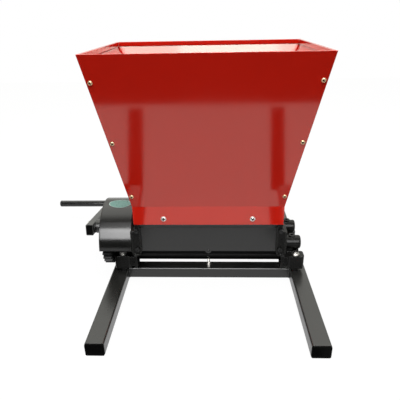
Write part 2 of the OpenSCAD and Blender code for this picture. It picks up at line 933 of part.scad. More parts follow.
// Radii of a gear with n teeth, and half a tooth's angle at a given radius
function pitch_r(n) = n * tooth_module / 2;
function tip_r(n) = pitch_r(n) + 0.95 * tooth_module;
function root_r(n) = pitch_r(n) - 1.25 * tooth_module;
function base_r(n) = pitch_r(n) * cos(pressure_angle);
function involute(a) = tan(a) - a * PI / 180;
function roll_angle(n, r) = acos(min(1, base_r(n) / r));
function play_angle(n) = gear_backlash / 4 / pitch_r(n) * 180 / PI;
function spread_angle(n, r) = (involute(pressure_angle) - involute(roll_angle(n, r))) * 180 / PI;
function half_tooth(n, r) = 90 / n - play_angle(n) + spread_angle(n, max(base_r(n), r));
function polar(r, a) = [r * cos(a), r * sin(a)];
function flank_radius(n, i) = base_r(n) + (tip_r(n) - base_r(n)) * i / flank_steps;
function flank_radii(n) = concat([root_r(n)], [for (i = [0 : flank_steps]) flank_radius(n, i)]);
function tooth_outline(n, a) = let (radii = flank_radii(n), last = len(radii) - 1) concat(
    [for (i = [0 : last]) polar(radii[i], a - half_tooth(n, radii[i]))],
    [for (i = [last : -1 : 0]) polar(radii[i], a + half_tooth(n, radii[i]))]
);

module gear(n, turn) {
    recess_depth = gear_width / 5;
    recess_r = root_r(n) - tooth_module;
    recess_hub_r = 1.2 * spacer_r;
    outline = [for (i = [0 : n - 1]) each tooth_outline(n, turn + i * 360 / n)];
    difference() {
        translate([-gear_outer, 0, 0]) along_x() linear_extrude(gear_width) polygon(outline);
        bore_x(shaft_fit_r, -gear_outer - cut, -gear_inner + cut);
        ring_x(recess_r, recess_hub_r, -gear_outer - cut, -gear_outer + recess_depth);
        keyway(-gear_outer - cut, -gear_inner + cut);
    }
}

module gear_key() {
    translate([-gear_outer, -key_side / 2, shaft_d / 2 - key_depth]) cube([gear_width, key_side, key_side]);
}

module gear_spacer() {
    ring_x(spacer_r, shaft_fit_r, -gear_inner, -boss_end - end_gap);
}

module at_drive() {
    in_frame() translate([0, axle_y, axle_height]) children();
}

module at_driven() {
    in_frame() translate([0, -axle_y, axle_height]) children();
}

module drive_shaft() {
    color("#9a9c9e") at_drive() difference() {
        shaft(arm_outer);
        bore_x(crank_screw_d / 2 + seat_gap, -arm_outer - cut, crank_screw_depth + cut - arm_outer);
    }
}

module rear_roller() {
    color("#3c3d3f") at_drive() fluted_roller();
}

module rear_roller_pins() {
    color("#9a9c9e") at_drive() roller_pins();
}

module drive_gear() {
    color("#2b2b2c") at_drive() gear(drive_teeth, mesh_turn);
}

module drive_key() {
    color("#9a9c9e") at_drive() gear_key();
}

module drive_spacers() {
    color("#9a9c9e") at_drive() {
        gear_spacer();
        ring_x(spacer_r, shaft_fit_r, -hub_inner, -gear_outer);
    }
}

module driven_shaft() {
    color("#9a9c9e") at_driven() difference() {
        shaft(driven_end);
        ring_x(shaft_d, shaft_d / 2 - ring_groove, -gear_outer - ring_thick, -gear_outer);
    }
}

module front_roller() {
    color("#3c3d3f") at_driven() fluted_roller();
}

module front_roller_pins() {
    color("#9a9c9e") at_driven() roller_pins();
}

module driven_gear() {
    color("#2b2b2c") at_driven() gear(driven_teeth, 0);
}

module driven_key() {
    color("#9a9c9e") at_driven() gear_key();
}

module driven_spacer() {
    color("#9a9c9e") at_driven() gear_spacer();
}

module driven_ring() {
    inner_r = shaft_d / 2 - ring_groove + seat_gap;
    color("#9a9c9e") at_driven()
        ring_x(inner_r + ring_wall, inner_r, -gear_outer - ring_thick, -gear_outer);
}

// Crank. Its own frame has Y along the arm, away from the shaft.

module on_arm() {
    at_drive() rotate([-arm_drop, 0, 0]) children();
}

module at_handle() {
    on_arm() translate([0, crank_radius, 0]) children();
}

module crank_hub() {
    color("#1c1c1d") on_arm() difference() {
        rod_x(hub_d / 2, -arm_inner, -hub_inner, 1.5);
        bore_x(shaft_fit_r, -arm_inner - cut, -hub_inner + cut);
        translate([-set_screw_x, 0, 0]) cylinder(r = set_screw_d / 2 + seat_gap, h = hub_d);
    }
}

module crank_set_screw() {
    color("#1a1a1b") on_arm() translate([-set_screw_x, 0, shaft_d / 2 + seat_gap])
        cylinder(d = set_screw_d, h = (hub_d - shaft_d) / 2);
}

module crank_arm() {
    length = arm_stub + crank_radius + arm_tail;
    color("#1c1c1d") on_arm() difference() {
        translate([-arm_middle, length / 2 - arm_stub, -arm_height / 2])
            round_tube(arm_width, arm_height, length, arm_wall, arm_corner);
        bore_x(shaft_fit_r, -arm_outer - cut, -arm_inner + cut);
        translate([0, crank_radius, 0])
            bore_x(spindle_d / 2 + seat_gap, -arm_outer - cut, -arm_inner + cut);
    }
}

module crank_arm_caps() {
    plug = 3;
    inset = arm_wall + plug_gap;
    color("#0d0d0e") on_arm() for (y = [plug / 2 - arm_stub, crank_radius + arm_tail - plug / 2])
        translate([-arm_middle, y, -arm_height / 2 + inset])
            round_bar(arm_width - 2 * inset, arm_height - 2 * inset, plug, arm_corner - arm_wall);
}

module crank_screw() {
    color("#c9c7c0") on_arm() translate([-arm_outer - washer_thick, 0, 0]) rotate([0, -90, 0])
        hex_bolt(crank_screw_d, washer_thick + crank_screw_depth);
}

module crank_washer() {
    color("#c9c7c0") on_arm()
        ring_x(spacer_r, crank_screw_d / 2 + bolt_gap, -arm_outer - washer_thick, -arm_outer);
}

module grip_spindle() {
    head_thick = 0.6 * spindle_d;
    color("#9a9c9e") at_handle() {
        rod_x(spindle_d / 2, -button_start, -arm_inner + head_thick / 2, 0.5);
        translate([-arm_inner, 0, 0]) rotate([0, 90, 0])
            cylinder(r = hex_radius(1.6 * spindle_d), h = head_thick, $fn = 6);
    }
}

module grip_button() {
    edge = 2.5;
    color("#151516") at_handle() translate([-button_start, 0, 0]) rotate([0, -90, 0])
        rotate_extrude() union() {
            square([grip_d / 2, button_length - edge]);
            square([grip_d / 2 - edge, button_length]);
            translate([grip_d / 2 - edge, button_length - edge]) intersection() {
                circle(r = edge);
                square(edge);
            }
        }
}

module grip() {
    color("#151516") at_handle() difference() {
        rod_x(grip_d / 2, -grip_end, -grip_start, 0.8);
        bore_x(spindle_d / 2 + running_gap, -grip_end - cut, -grip_start + cut);
    }
}

left_leg();
right_leg();
front_cross_rail();
rear_cross_rail();
leg_end_caps();
centre_stud();
centre_stud_nuts();
left_side_frame();
right_side_frame();
foot_bolts();
foot_washers();
foot_standoffs();
foot_nuts();
bearing_bushes();
bearing_caps();
front_panel();
rear_panel();
panel_rivets();
post_bolts();
hopper_front();
hopper_rear();
hopper_left();
hopper_right();
corner_screws();
corner_nuts();
skirt_bolts();
skirt_nuts();
gear_cover_band();
gear_cover_plate();
cover_screws();
drive_shaft();
rear_roller();
rear_roller_pins();
drive_gear();
drive_key();
drive_spacers();
crank_hub();
crank_set_screw();
crank_arm();
crank_arm_caps();
crank_screw();
crank_washer();
grip_spindle();
grip_button();
grip();
driven_shaft();
front_roller();
front_roller_pins();
driven_gear();
driven_key();
driven_spacer();
driven_ring();
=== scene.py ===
import math

import bmesh
import bpy
from mathutils import Matrix, Vector


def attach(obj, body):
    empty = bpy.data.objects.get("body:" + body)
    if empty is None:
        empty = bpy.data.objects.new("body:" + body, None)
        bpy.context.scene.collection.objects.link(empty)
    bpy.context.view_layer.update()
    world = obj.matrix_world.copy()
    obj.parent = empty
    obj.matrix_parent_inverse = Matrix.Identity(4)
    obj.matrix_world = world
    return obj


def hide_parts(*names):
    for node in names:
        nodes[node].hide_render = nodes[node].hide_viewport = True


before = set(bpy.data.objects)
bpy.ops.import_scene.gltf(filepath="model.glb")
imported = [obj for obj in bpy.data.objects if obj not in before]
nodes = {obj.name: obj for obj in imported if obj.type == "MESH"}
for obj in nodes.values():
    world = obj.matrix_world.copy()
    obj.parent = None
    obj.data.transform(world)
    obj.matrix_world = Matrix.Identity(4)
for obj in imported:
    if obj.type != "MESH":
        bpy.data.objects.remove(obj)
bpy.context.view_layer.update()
scene = bpy.context.scene
scene.view_settings.view_transform = "Standard"

# Camera: stands in front of the machine, a little above the hopper's rim, and looks
# down on the base. It is turned by a degree, as the photograph is.
eye = Vector((0.1403, -0.9599, 0.6287))
yaw = math.radians(-2.33)
pitch = math.radians(24.31)
roll = math.radians(1.11)
sensor_width = 36.0
focal_length = sensor_width * 415.0 / 400.0
ahead = Vector((math.sin(yaw) * math.cos(pitch), math.cos(yaw) * math.cos(pitch), -math.sin(pitch)))
level = Vector((math.cos(yaw), -math.sin(yaw), 0.0))
down = ahead.cross(level)
view_right = level * math.cos(roll) + down * math.sin(roll)
view_down = down * math.cos(roll) - level * math.sin(roll)
view_turn = Matrix((view_right, -view_down, -ahead)).transposed().to_4x4()
lens = bpy.data.cameras.new("camera")
lens.sensor_width = sensor_width
lens.lens = focal_length
camera = bpy.data.objects.new("camera", lens)
camera.matrix_world = Matrix.Translation(eye) @ view_turn
scene.collection.objects.link(camera)
scene.camera = camera

# Floor: a white paper sheet that ends in front of the machine, so the hopper mirrors the
# paper in its lower part and the dark room above it. It keeps a faint shadow.
machine_x = 0.1228  # the hopper's middle in the part's frame
floor_left = -3.0
floor_right = 3.2
floor_front = -0.764
floor_back = 3.4
floor_drop = -0.0005
paper_seen = 0.66
paper_spill = 0.42
white_share = 0.95


def node_material(name):
    material = bpy.data.materials.new(name)
    material.use_nodes = True
    material.node_tree.nodes.clear()
    return material, material.node_tree.nodes, material.node_tree.links


def flat_sheet(name, corners, height, material):
    mesh = bpy.data.meshes.new(name)
    mesh.from_pydata([(x, y, height) for x, y in corners], [], [(0, 1, 2, 3)])
    mesh.materials.append(material)
    sheet = bpy.data.objects.new(name, mesh)
    scene.collection.objects.link(sheet)
    return sheet


floor_white, made, links = node_material("floor_white")
seen = made.new("ShaderNodeLightPath")
bounce = made.new("ShaderNodeMapRange")
bounce.inputs["To Min"].default_value = paper_seen
bounce.inputs["To Max"].default_value = paper_spill
paper = made.new("ShaderNodeBsdfDiffuse")
glow = made.new("ShaderNodeEmission")
shown = made.new("ShaderNodeMath")
shown.operation = "MAXIMUM"
share = made.new("ShaderNodeMath")
share.operation = "MULTIPLY"
share.inputs[1].default_value = white_share
blend = made.new("ShaderNodeMixShader")
surface = made.new("ShaderNodeOutputMaterial")
links.new(seen.outputs["Is Diffuse Ray"], bounce.inputs["Value"])
links.new(bounce.outputs["Result"], paper.inputs["Color"])
links.new(seen.outputs["Is Camera Ray"], shown.inputs[0])
links.new(seen.outputs["Is Glossy Ray"], shown.inputs[1])
links.new(shown.outputs[0], share.inputs[0])
links.new(share.outputs[0], blend.inputs["Fac"])
links.new(paper.outputs[0], blend.inputs[1])
links.new(glow.outputs[0], blend.inputs[2])
links.new(blend.outputs[0], surface.inputs["Surface"])
floor_corners = [
    (floor_left, floor_front),
    (floor_right, floor_front),
    (floor_right, floor_back),
    (floor_left, floor_back),
]
flat_sheet("floor", floor_corners, floor_drop, floor_white)

# Flags: dark sheets on the paper that only mirrors see, so their black is painted reflection.
# They paint the dark bars in the hopper's gloss and the black undersides of the gear cover and
# the rollers; under the machine they stand in for the floor's shade.
# Black of the net's gauze and of the painted reflections.
gauze_and_painted_reflection_black = (0.006, 0.006, 0.006, 1.0)
painted_reflection_height = 0.0005
painted_reflections = {
    "painted_reflection_left": [(-0.307, -0.742), (-0.251, -0.742), (-0.206, -0.336), (-0.253, -0.336)],
    "painted_reflection_right": [(0.222, -0.742), (0.273, -0.742), (0.230, -0.336), (0.187, -0.336)],
    "painted_reflection_cover": [(-0.350, -0.365), (-0.254, -0.365), (-0.248, -0.100), (-0.350, -0.100)],
    "painted_reflection_under": [(-0.204, -0.026), (0.204, -0.026), (0.204, 0.150), (-0.204, 0.150)],
}
painted_reflection_black, made, links = node_material("painted_reflection_black")
black_diffuse = made.new("ShaderNodeBsdfDiffuse")
black_diffuse.inputs["Color"].default_value = gauze_and_painted_reflection_black
surface = made.new("ShaderNodeOutputMaterial")
links.new(black_diffuse.outputs[0], surface.inputs["Surface"])
# Each sheet shows only in mirrors: a painted dark reflection.
for name, corners in painted_reflections.items():
    reflection_sheet = flat_sheet(name, [(x + machine_x, y) for x, y in corners], painted_reflection_height, painted_reflection_black)
    reflection_sheet.visible_camera = False
    reflection_sheet.visible_diffuse = False
    reflection_sheet.visible_shadow = False

# Net: thin black gauze hung over the hopper's mouth, which neither the camera nor a mirror
# sees. It takes a third of the overhead light from the rim.
net_corners = [(-0.125, -0.172), (0.370, -0.172), (0.370, 0.200), (-0.125, 0.200)]
net_height = 0.60
net_open = 0.65
net_black, made, links = node_material("net_black")
black_diffuse = made.new("ShaderNodeBsdfDiffuse")
black_diffuse.inputs["Color"].default_value = gauze_and_painted_reflection_black
holes = made.new("ShaderNodeBsdfTransparent")
blend = made.new("ShaderNodeMixShader")
blend.inputs["Fac"].default_value = net_open
surface = made.new("ShaderNodeOutputMaterial")
links.new(black_diffuse.outputs[0], blend.inputs[1])
links.new(holes.outputs[0], blend.inputs[2])
links.new(blend.outputs[0], surface.inputs["Surface"])
net = flat_sheet("net_over_rim", net_corners, net_height, net_black)
net.visible_camera = False
net.visible_diffuse = False
net.visible_glossy = False

# Studio: a white wall that grows brighter upwards behind the machine, a dark room before it,
# softboxes whose glare the paint mirrors, and a wide light overhead that gives the colour.
wall_white = (1.0, 1.0, 0.94, 1.0)
backdrop_white = (1.0, 1.0, 1.0, 1.0)
softbox_height = 1.35
softboxes = {
    "softbox_glare": ((0.03, -2.14, 1.46), 1.90, 84.0),
    "softbox_core": ((0.25, -2.10, 1.42), 0.80, 16.0),
    "softbox_top": ((0.03, -1.72, 2.20), 1.90, 15.0),
}
lit_point = Vector((machine_x, 0.0, 0.20))
world = bpy.data.worlds.new("studio")
world.use_nodes = True
scene.world = world
made = world.node_tree.nodes
links = world.node_tree.links
made.clear()
direction = made.new("ShaderNodeTexCoord")
parts = made.new("ShaderNodeSeparateXYZ")
links.new(direction.outputs["Generated"], parts.inputs[0])


def world_ramp(axis, start, end, low, high):
    ramp = made.new("ShaderNodeMapRange")
    ramp.interpolation_type = "SMOOTHSTEP"
    ramp.inputs["From Min"].default_value = start
    ramp.inputs["From Max"].default_value = end
    ramp.inputs["To Min"].default_value = low
    ramp.inputs["To Max"].default_value = high
    links.new(parts.outputs[axis], ramp.inputs["Value"])
    return ramp.outputs["Result"]


behind = world_ramp("Y", start=-0.34, end=0.12, low=0.0, high=1.0)
dark_room = world_ramp("Z", start=0.80, end=0.98, low=0.04, high=0.40)
white_wall = world_ramp("Z", start=0.40, end=0.85, low=0.95, high=2.40)
room = made.new("ShaderNodeMix")
room.data_type = "FLOAT"
links.new(behind, room.inputs["Factor"])
links.new(dark_room, room.inputs["A"])
links.new(white_wall, room.inputs["B"])
studio = made.new("ShaderNodeBackground")
studio.inputs["Color"].default_value = wall_white
links.new(room.outputs["Result"], studio.inputs["Strength"])
backdrop = made.new("ShaderNodeBackground")
backdrop.inputs["Color"].default_value = backdrop_white
seen = made.new("ShaderNodeLightPath")
blend = made.new("ShaderNodeMixShader")
surface = made.new("ShaderNodeOutputWorld")
links.new(seen.outputs["Is Camera Ray"], blend.inputs["Fac"])
links.new(studio.outputs[0], blend.inputs[1])
links.new(backdrop.outputs[0], blend.inputs[2])
links.new(blend.outputs[0], surface.inputs["Surface"])


def soft_light(name, place, width, height, watts):
    lamp = bpy.data.lights.new(name, "AREA")
    lamp.shape = "RECTANGLE"
    lamp.size = width
    lamp.size_y = height
    lamp.energy = watts
    light = bpy.data.objects.new(name, lamp)
    turn = (lit_point - Vector(place)).to_track_quat("-Z", "Y")
    light.matrix_world = Matrix.Translation(place) @ turn.to_matrix().to_4x4()
    scene.collection.objects.link(light)
    return light


for name, (place, width, watts) in softboxes.items():
    softbox = soft_light(name, place, width, softbox_height, watts)
    softbox.visible_diffuse = False
overhead = soft_light("overhead_light", (0.12, -0.90, 2.60), width=2.2, height=1.3, watts=126.0)
overhead.visible_glossy = False

# Base: two leg tubes and two cross rails of rectangular steel tube, welded into an H and
# powder coated black. The coat is satin with a faint orange peel.
peel_detail = 2.0
blotch_detail = 4.0
blotch_low = 0.3  # the noise seldom leaves the range between these two
blotch_high = 0.7
peel_depth = 0.0001
edge_samples = 6
# Up to this turn the edges take the edge tone, which is partly wear and partly a painted highlight.
full_edge = 0.75  # cosine of the turn at which an edge counts as fully worn


def shader_group(name, inputs, outputs):
    group = bpy.data.node_groups.new(name, "ShaderNodeTree")
    for label, value in inputs:
        socket = group.interface.new_socket(label, in_out="INPUT", socket_type="NodeSocketFloat")
        socket.default_value = value
    for label, kind in outputs:
        group.interface.new_socket(label, in_out="OUTPUT", socket_type=kind)
    return group, group.nodes.new("NodeGroupInput"), group.nodes.new("NodeGroupOutput")


coat_grain, entry, leave = shader_group(
    "coat_grain",
    [("Peel Scale", 900.0), ("Blotch Scale", 9.0)],
    [("Peel", "NodeSocketFloat"), ("Blotch", "NodeSocketFloat")],
)
place = coat_grain.nodes.new("ShaderNodeTexCoord")
for label, detail in (("Peel", peel_detail), ("Blotch", blotch_detail)):
    grain = coat_grain.nodes.new("ShaderNodeTexNoise")
    grain.inputs["Detail"].default_value = detail
    coat_grain.links.new(place.outputs["Object"], grain.inputs["Vector"])
    coat_grain.links.new(entry.outputs[label + " Scale"], grain.inputs["Scale"])
    coat_grain.links.new(grain.outputs[0], leave.inputs[label])

soft_edge, entry, leave = shader_group(
    "soft_edge",
    [("Radius", 0.001)],
    [("Normal", "NodeSocketVector"), ("Edge", "NodeSocketFloat")],
)
rounding = soft_edge.nodes.new("ShaderNodeBevel")
rounding.samples = edge_samples
true_face = soft_edge.nodes.new("ShaderNodeNewGeometry")
turned = soft_edge.nodes.new("ShaderNodeVectorMath")
turned.operation = "DOT_PRODUCT"
edge = soft_edge.nodes.new("ShaderNodeMapRange")
edge.inputs["From Min"].default_value = 1.0
edge.inputs["From Max"].default_value = full_edge
soft_edge.links.new(entry.outputs["Radius"], rounding.inputs["Radius"])
soft_edge.links.new(rounding.outputs[0], turned.inputs[0])
soft_edge.links.new(true_face.outputs["Normal"], turned.inputs[1])
soft_edge.links.new(turned.outputs["Value"], edge.inputs["Value"])
soft_edge.links.new(rounding.outputs[0], leave.inputs["Normal"])
soft_edge.links.new(edge.outputs["Result"], leave.inputs["Edge"])


def finish(
    name, dark, light, rough, peel, radius, blotch, bump,
    metal=0.0, worn_and_lit_edge=None, ior=1.5, mirror=0.5, tint=(1.0, 1.0, 1.0),
):
    """A finish whose colour and gloss wander a little, with grain and softly rounded edges. An edge
    tone, where given, paints the edges lighter: partly wear, partly a painted highlight.
    """
    material, made, links = node_material(name)
    shader = made.new("ShaderNodeBsdfPrincipled")
    surface = made.new("ShaderNodeOutputMaterial")
    grain = made.new("ShaderNodeGroup")
    grain.node_tree = coat_grain
    grain.inputs["Peel Scale"].default_value = peel
    grain.inputs["Blotch Scale"].default_value = blotch
    rounded = made.new("ShaderNodeGroup")
    rounded.node_tree = soft_edge
    rounded.inputs["Radius"].default_value = radius
    tone = made.new("ShaderNodeMix")
    tone.data_type = "RGBA"
    tone.inputs["A"].default_value = (*dark, 1.0)
    tone.inputs["B"].default_value = (*light, 1.0)
    links.new(grain.outputs["Blotch"], tone.inputs["Factor"])
    colour = tone.outputs["Result"]
    # Lighter edges: partly wear, partly a painted highlight along the rounded edges.
    if worn_and_lit_edge:
        edge_wear_and_highlight = made.new("ShaderNodeMix")
        edge_wear_and_highlight.data_type = "RGBA"
        edge_wear_and_highlight.inputs["B"].default_value = (*worn_and_lit_edge, 1.0)
        links.new(rounded.outputs["Edge"], edge_wear_and_highlight.inputs["Factor"])
        links.new(colour, edge_wear_and_highlight.inputs["A"])
        colour = edge_wear_and_highlight.outputs["Result"]
    gloss = made.new("ShaderNodeMapRange")
    gloss.inputs["From Min"].default_value = blotch_low
    gloss.inputs["From Max"].default_value = blotch_high
    gloss.inputs["To Min"].default_value = rough[0]
    gloss.inputs["To Max"].default_value = rough[1]
    links.new(grain.outputs["Blotch"], gloss.inputs["Value"])
    ripple = made.new("ShaderNodeBump")
    ripple.inputs["Strength"].default_value = bump
    ripple.inputs["Distance"].default_value = peel_depth
    links.new(grain.outputs["Peel"], ripple.inputs["Height"])
    links.new(rounded.outputs["Normal"], ripple.inputs["Normal"])
    links.new(colour, shader.inputs["Base Color"])
    links.new(gloss.outputs["Result"], shader.inputs["Roughness"])
    links.new(ripple.outputs["Normal"], shader.inputs["Normal"])
    shader.inputs["Metallic"].default_value = metal
    shader.inputs["IOR"].default_value = ior
    shader.inputs["Specular IOR Level"].default_value = mirror
    shader.inputs["Specular Tint"].default_value = (*tint, 1.0)
    links.new(shader.outputs[0], surface.inputs["Surface"])
    return material


def dress(material, *names):
    for name in names:
        mesh = nodes[name].data
        mesh.materials.clear()
        mesh.materials.append(material)


black_coat = finish(
    "black_powder_coat",
    dark=(0.006, 0.006, 0.0055),
    light=(0.010, 0.010, 0.009),
    rough=(0.24, 0.34),
    peel=500.0,
    radius=0.0010,
    blotch=9.0,
    bump=0.05,
    # Lighter edges: partly wear, partly a painted highlight.
    worn_and_lit_edge=(0.016, 0.016, 0.015),
    ior=1.54,
)
dress(black_coat, "left_leg", "right_leg", "front_cross_rail", "rear_cross_rail")

# Weld beads: rows of overlapping ripples in the corners where the rails meet the legs, under
# the same black coat.
rail_end = 0.206
rail_edges = (0.027, 0.061)
rail_top = 0.030
tube_corner = 0.004
groove_depth = 0.2 * tube_corner
bead_radius = 0.0021
bead_stand = 0.4 * bead_radius
bead_sink = 0.7 * bead_radius
ripple_pitch = 0.0022
ripple_detail = 3
ripple_low = 0.86
ripple_high = 1.12
crease_angle = 0.6


def geometry_tree(name, sizes):
    """A tree that carries one instance to each point, with sizes as its named inputs."""
    tree = bpy.data.node_groups.new(name, "GeometryNodeTree")
    tree.interface.new_socket("Points", in_out="INPUT", socket_type="NodeSocketGeometry")
    for label in sizes:
        tree.interface.new_socket(label, in_out="INPUT", socket_type="NodeSocketFloat")
    tree.interface.new_socket("Seed", in_out="INPUT", socket_type="NodeSocketInt")
    tree.interface.new_socket("Material", in_out="INPUT", socket_type="NodeSocketMaterial")
    tree.interface.new_socket("Mesh", in_out="OUTPUT", socket_type="NodeSocketGeometry")
    return tree, tree.nodes.new("NodeGroupInput")


def in_use(sockets, name):
    """The socket of that name which the node's present settings use."""
    return next(socket for socket in sockets if socket.enabled and socket.name == name)


def random_value(tree, entry, low, high):
    chance = tree.nodes.new("FunctionNodeRandomValue")
    chance.data_type = "FLOAT"
    in_use(chance.inputs, "Min").default_value = low
    in_use(chance.inputs, "Max").default_value = high
    tree.links.new(entry.outputs["Seed"], in_use(chance.inputs, "Seed"))
    return in_use(chance.outputs, "Value")


def scatter(tree, entry, shape, rotation=None, scale=None, keep=None):
    """Instances of shape on the points, realized, smoothed up to sharp edges, with the material.

    Faces that already have the material of the socket keep stay as they are.
    """
    carry = tree.nodes.new("GeometryNodeInstanceOnPoints")
    tree.links.new(entry.outputs["Points"], carry.inputs["Points"])
    tree.links.new(shape, carry.inputs["Instance"])
    if rotation:
        tree.links.new(rotation, carry.inputs["Rotation"])
    if scale:
        tree.links.new(scale, carry.inputs["Scale"])
    solid = tree.nodes.new("GeometryNodeRealizeInstances")
    smooth = tree.nodes.new("GeometryNodeSetShadeSmooth")
    angle = tree.nodes.new("GeometryNodeInputMeshEdgeAngle")
    sharp = tree.nodes.new("FunctionNodeCompare")
    sharp.operation = "GREATER_THAN"
    in_use(sharp.inputs, "B").default_value = crease_angle
    crease = tree.nodes.new("GeometryNodeSetShadeSmooth")
    crease.domain = "EDGE"
    crease.inputs["Shade Smooth"].default_value = False
    coat = tree.nodes.new("GeometryNodeSetMaterial")
    if keep:
        kept = tree.nodes.new("GeometryNodeMaterialSelection")
        others = tree.nodes.new("FunctionNodeBooleanMath")
        others.operation = "NOT"
        tree.links.new(keep, kept.inputs["Material"])
        tree.links.new(kept.outputs["Selection"], others.inputs[0])
        tree.links.new(others.outputs[0], coat.inputs["Selection"])
    leave = tree.nodes.new("NodeGroupOutput")
    tree.links.new(carry.outputs["Instances"], solid.inputs["Geometry"])
    tree.links.new(solid.outputs["Geometry"], smooth.inputs["Geometry"])
    tree.links.new(angle.outputs["Unsigned Angle"], in_use(sharp.inputs, "A"))
    tree.links.new(smooth.outputs["Geometry"], crease.inputs["Geometry"])
    tree.links.new(sharp.outputs["Result"], crease.inputs["Selection"])
    tree.links.new(crease.outputs["Geometry"], coat.inputs["Geometry"])
    tree.links.new(entry.outputs["Material"], coat.inputs["Material"])
    tree.links.new(coat.outputs["Geometry"], leave.inputs["Mesh"])


def on_points(name, tree, places, sizes, material, seed, facings=None):
    """One plain mesh of the tree's instances on places given in the machine's frame."""
    mesh = bpy.data.meshes.new(name)
    mesh.from_pydata([(x + machine_x, y, z) for x, y, z in places], [], [])
    if facings:
        facing = mesh.attributes.new("facing", "FLOAT_VECTOR", "POINT")
        facing.data.foreach_set("vector", [value for vector in facings for value in vector])
    piece = bpy.data.objects.new(name, mesh)
    scene.collection.objects.link(piece)
    spread = piece.modifiers.new(tree.name, "NODES")
    spread.node_group = tree
    values = {**sizes, "Seed": seed, "Material": material}
    for socket in tree.interface.items_tree:
        if socket.name in values:
            spread[socket.identifier] = values[socket.name]
    evaluated = piece.evaluated_get(bpy.context.evaluated_depsgraph_get())
    plain = bpy.data.meshes.new_from_object(evaluated)
    piece.modifiers.clear()
    piece.data = plain
    return piece


weld_tree, entry = geometry_tree("weld_ripples", ["Bead Radius"])
ripple = weld_tree.nodes.new("GeometryNodeMeshIcoSphere")
ripple.inputs["Subdivisions"].default_value = ripple_detail
weld_tree.links.new(entry.outputs["Bead Radius"], ripple.inputs["Radius"])
ripple_size = random_value(weld_tree, entry, ripple_low, ripple_high)
scatter(weld_tree, entry, ripple.outputs["Mesh"], scale=ripple_size)


def bead_row(start, end):
    """Places for ripples, in a straight row."""
    start = Vector(start)
    end = Vector(end)
    count = round((end - start).length / ripple_pitch)
    return [tuple(start.lerp(end, i / count)) for i in range(count + 1)]


rail_welds = []
for side in (-1, 1):
    inner = side * (rail_end - bead_stand)
    groove = side * (rail_end + groove_depth)
    for end in (-1, 1):
        near, far = (end * y for y in rail_edges)
        for y in (near - end * bead_stand, far + end * bead_stand):
            rail_welds += bead_row((inner, y, tube_corner), (inner, y, rail_top - tube_corner))
        crown = rail_top - bead_sink
        near += end * tube_corner
        far -= end * tube_corner
        rail_welds += bead_row((groove, near, crown), (groove, far, crown))
weld_sizes = {"Bead Radius": bead_radius}
frame_welds = on_points("frame_welds", weld_tree, rail_welds, weld_sizes, black_coat, seed=3)
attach(frame_welds, "base")

# Leg end caps, arm plugs and bearing caps: pushed-in plugs of black moulded plastic,
# duller than the coat round them and finely spark-eroded.
cap_plastic = finish(
    "cap_plastic",
    dark=(0.0012, 0.0012, 0.0012),
    light=(0.0024, 0.0024, 0.0022),
    rough=(0.45, 0.60),
    peel=1800.0,
    radius=0.0012,
    blotch=20.0,
    bump=0.15,
    mirror=0.03,
)
dress(cap_plastic, "leg_end_caps", "crank_arm_caps", "bearing_caps")

# Side frames and the standoffs under their feet: sand castings painted satin black, so the
# sand's grain shows through the paint. Each frame has its bearing bosses, oil cups, feet and
# corner posts in one piece.
frame_paint = finish(
    "frame_paint",
    dark=(0.003, 0.003, 0.003),
    light=(0.007, 0.007, 0.006),
    rough=(0.22, 0.32),
    peel=420.0,
    radius=0.0022,
    blotch=30.0,
    bump=0.35,
    # Lighter rims on the casting's edges: mostly a painted highlight, with some wear.
    worn_and_lit_edge=(0.040, 0.040, 0.038),
    mirror=0.16,
)
dress(frame_paint, "left_side_frame", "right_side_frame", "foot_standoffs")

# Foot bolts: hexagon bolts with chamfered heads on wide washers, in bright zinc plate. They
# clamp each foot, its standoff and the leg's top wall onto a nut inside the leg.
foot_x = 0.217
foot_y = 0.063
foot_top = 0.075
chamfer_bottom = 1.45
chamfer_top = 0.82
washer_bevel = 0.95
hex_sides = 6
chamfer_sides = 32
washer_sides = 40
bolt_sides = 20
foot_bolt = {
    "Corner Radius": 0.0075,
    "Head Height": 0.0052,
    "Flange Radius": 0.0100,
    "Flange Height": 0.0016,
    "Shank Radius": 0.0040,
    "Shank Length": 0.0544,
}
zinc = finish(
    "bright_zinc",
    dark=(0.46, 0.45, 0.43),
    light=(0.66, 0.65, 0.62),
    rough=(0.26, 0.40),
    peel=1500.0,
    radius=0.0005,
    blotch=120.0,
    bump=0.05,
    metal=1.0,
)


def stacked(tree, shape, lift):
    """The shape moved up by a height, which is a socket."""
    move = tree.nodes.new("GeometryNodeTransform")
    offset = tree.nodes.new("ShaderNodeCombineXYZ")
    tree.links.new(shape, move.inputs["Geometry"])
    tree.links.new(lift, offset.inputs["Z"])
    tree.links.new(offset.outputs[0], move.inputs["Translation"])
    return move.outputs["Geometry"]


def scaled(tree, value, factor):
    times = tree.nodes.new("ShaderNodeMath")
    times.operation = "MULTIPLY"
    times.inputs[1].default_value = factor
    tree.links.new(value, times.inputs[0])
    return times.outputs[0]


def taper(tree, sides, bottom, top, height):
    """A prism or cone on Z = 0 whose radii and height are sockets."""
    cone = tree.nodes.new("GeometryNodeMeshCone")
    cone.inputs["Vertices"].default_value = sides
    tree.links.new(bottom, cone.inputs["Radius Bottom"])
    tree.links.new(top, cone.inputs["Radius Top"])
    tree.links.new(height, cone.inputs["Depth"])
    return cone.outputs["Mesh"]


def shank_below(tree, entry, sides):
    """The plain shank of a bolt or screw, from Z = 0 down."""
    radius = entry.outputs["Shank Radius"]
    length = entry.outputs["Shank Length"]
    rod = taper(tree, sides, radius, radius, length)
    return stacked(tree, rod, scaled(tree, length, -1.0))


def flange_disc(tree, entry, sides, bevel):
    """The flange or washer under a head, a little narrower at its upper edge."""
    radius = entry.outputs["Flange Radius"]
    return taper(tree, sides, radius, scaled(tree, radius, bevel), entry.outputs["Flange Height"])


